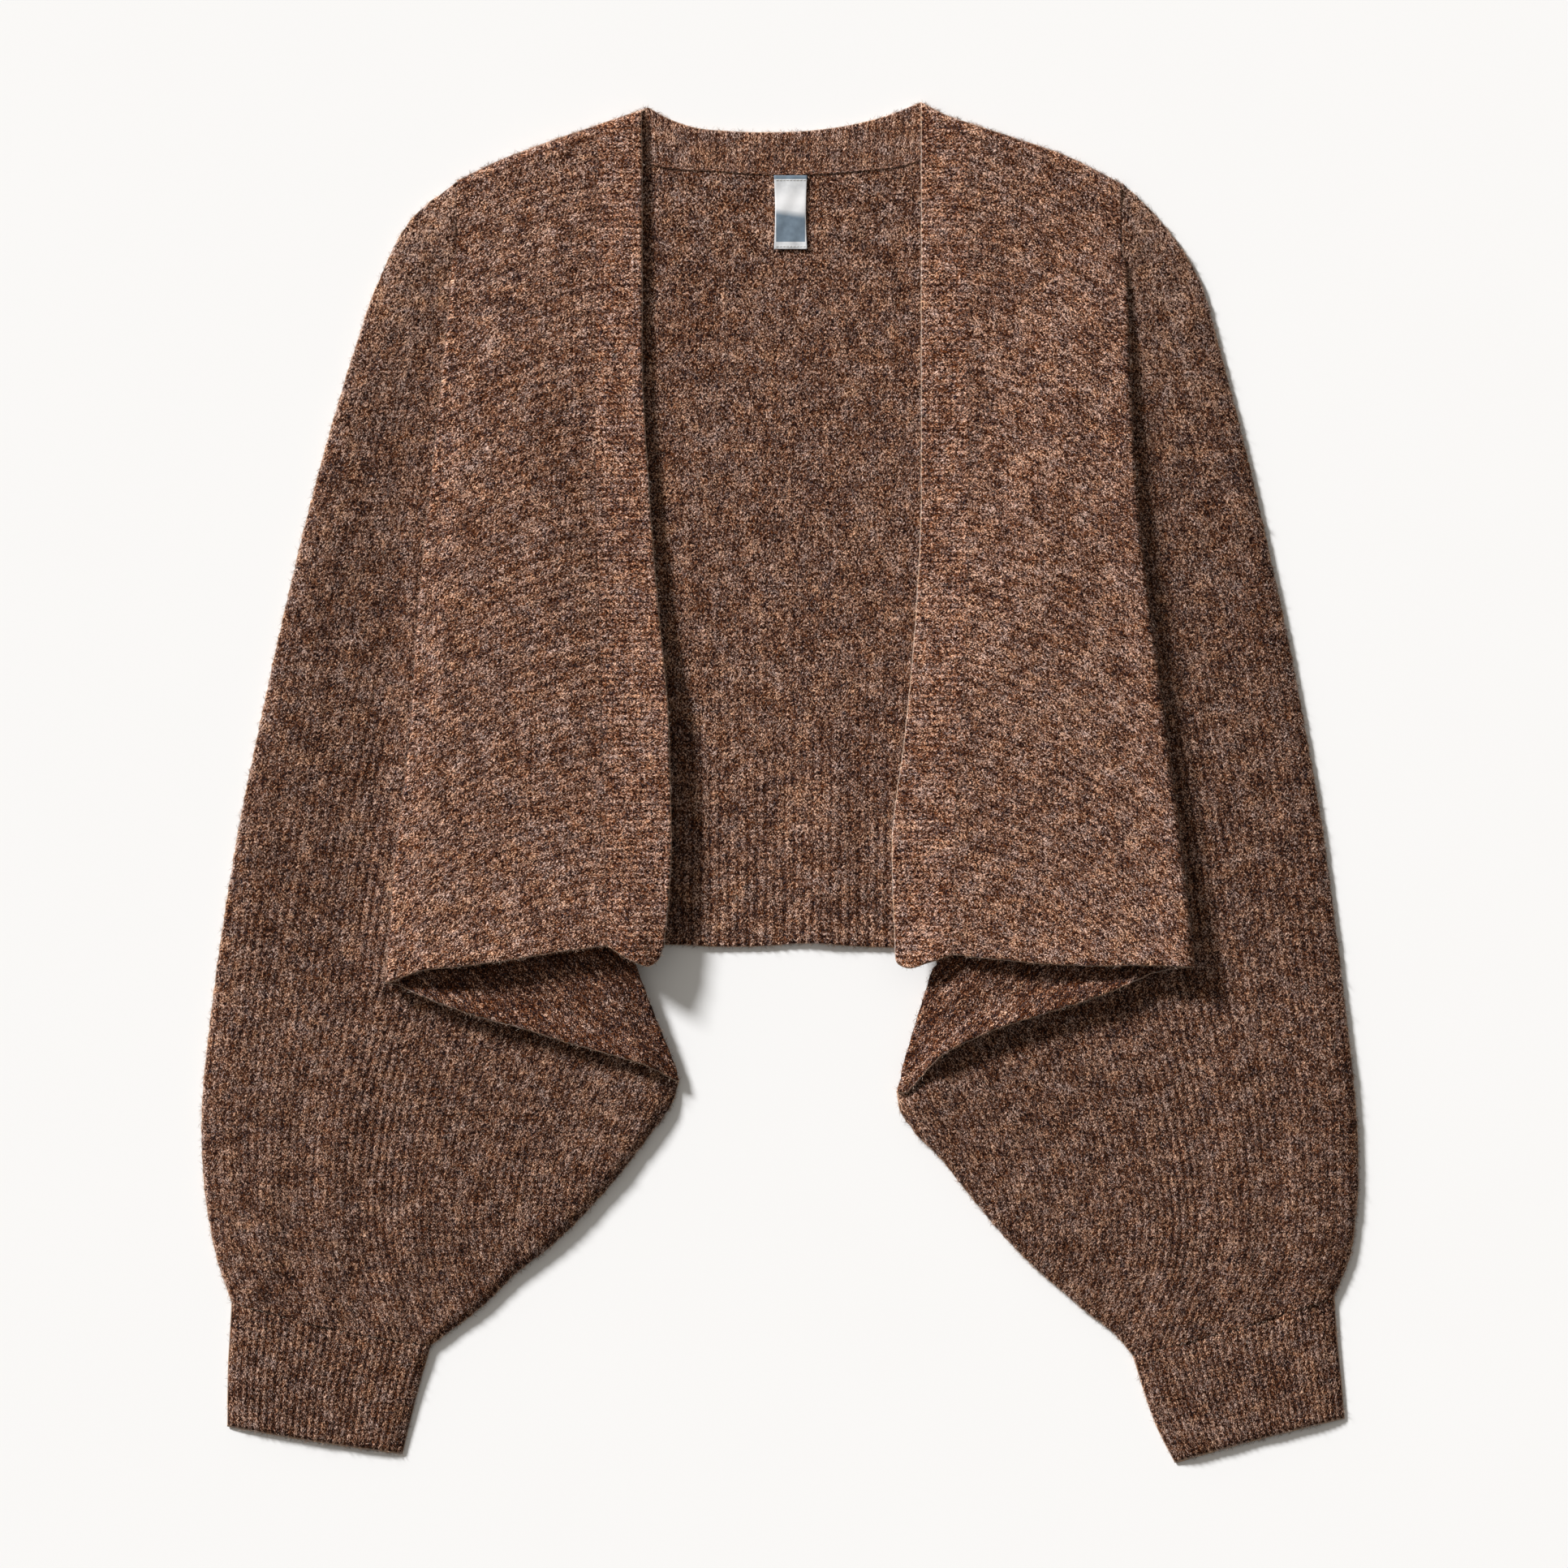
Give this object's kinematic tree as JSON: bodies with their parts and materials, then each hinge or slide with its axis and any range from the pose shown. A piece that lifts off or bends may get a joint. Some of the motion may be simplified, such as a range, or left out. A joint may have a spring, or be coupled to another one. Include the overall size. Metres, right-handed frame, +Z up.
{
  "type": "knitted shrug",
  "caption": "Cropped open-front ribbed knit shrug with batwing sleeves and fitted cuffs, laid flat with its sleeves folded down beside the body.",
  "frame": {"origin": "Centre of the footprint, on the surface that the garment lies on.", "axes": "+Z points up out of the surface, +Y runs from the cuffs to the neck, +X points to the side that is on the right as the garment is looked at from above."},
  "size_m": [0.5986, 0.704, 0.0153],
  "materials": {
    "back_panel": "ribbed melange knit, matt",
    "back_hem_band": "ribbed melange knit, matt",
    "back_neckband": "ribbed melange knit, matt",
    "neck_label": "woven satin, slightly glossy",
    "left_sleeve": "ribbed melange knit, matt",
    "left_cuff": "ribbed melange knit, matt",
    "left_front": "ribbed melange knit, matt",
    "left_front_band": "ribbed melange knit, matt",
    "right_sleeve": "ribbed melange knit, matt",
    "right_cuff": "ribbed melange knit, matt",
    "right_front": "ribbed melange knit, matt",
    "right_front_band": "ribbed melange knit, matt"
  },
  "bodies": {
    "root": {"back_panel": "back_panel", "back_hem_band": "back_hem_band", "back_neckband": "back_neckband", "neck_label": "neck_label", "left_sleeve": "left_sleeve", "left_cuff": "left_cuff", "left_front": "left_front", "left_front_band": "left_front_band", "right_sleeve": "right_sleeve", "right_cuff": "right_cuff", "right_front": "right_front", "right_front_band": "right_front_band"}
  },
  "joints": []
}
